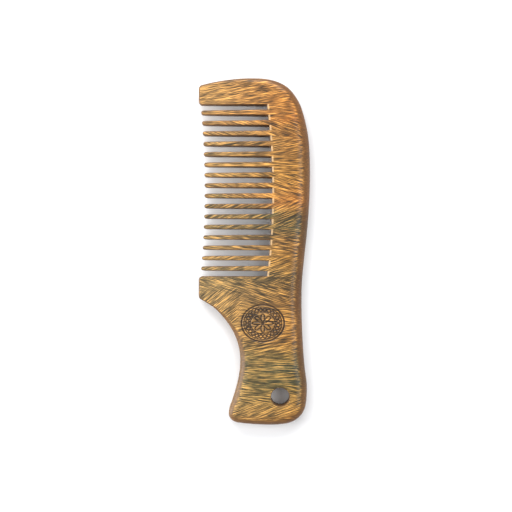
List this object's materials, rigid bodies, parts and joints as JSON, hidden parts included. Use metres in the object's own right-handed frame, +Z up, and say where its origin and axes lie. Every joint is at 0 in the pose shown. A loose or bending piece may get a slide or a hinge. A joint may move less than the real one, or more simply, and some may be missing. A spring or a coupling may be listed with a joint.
{
  "type": "beard comb",
  "caption": "Flat wooden beard comb with wide teeth between two guards, a curved spine, and a waisted handle with a round hanging hole.",
  "frame": {"origin": "under the middle of the bounding box, on the face that the comb lies on", "axes": "+X across the comb from tooth tips to spine, +Y along it from the handle's butt to the head, +Z up through the board's thickness"},
  "size_m": [0.056, 0.174, 0.011],
  "materials": {
    "sandalwood": "sanded and oiled, satin"
  },
  "bodies": {
    "root": {"back": "sandalwood", "handle": "sandalwood", "head_guard": "sandalwood", "heel_guard": "sandalwood", "tooth_01": "sandalwood", "tooth_02": "sandalwood", "tooth_03": "sandalwood", "tooth_04": "sandalwood", "tooth_05": "sandalwood", "tooth_06": "sandalwood", "tooth_07": "sandalwood", "tooth_08": "sandalwood", "tooth_09": "sandalwood", "tooth_10": "sandalwood", "tooth_11": "sandalwood", "tooth_12": "sandalwood", "tooth_13": "sandalwood", "tooth_14": "sandalwood", "tooth_15": "sandalwood", "tooth_16": "sandalwood"}
  },
  "joints": []
}
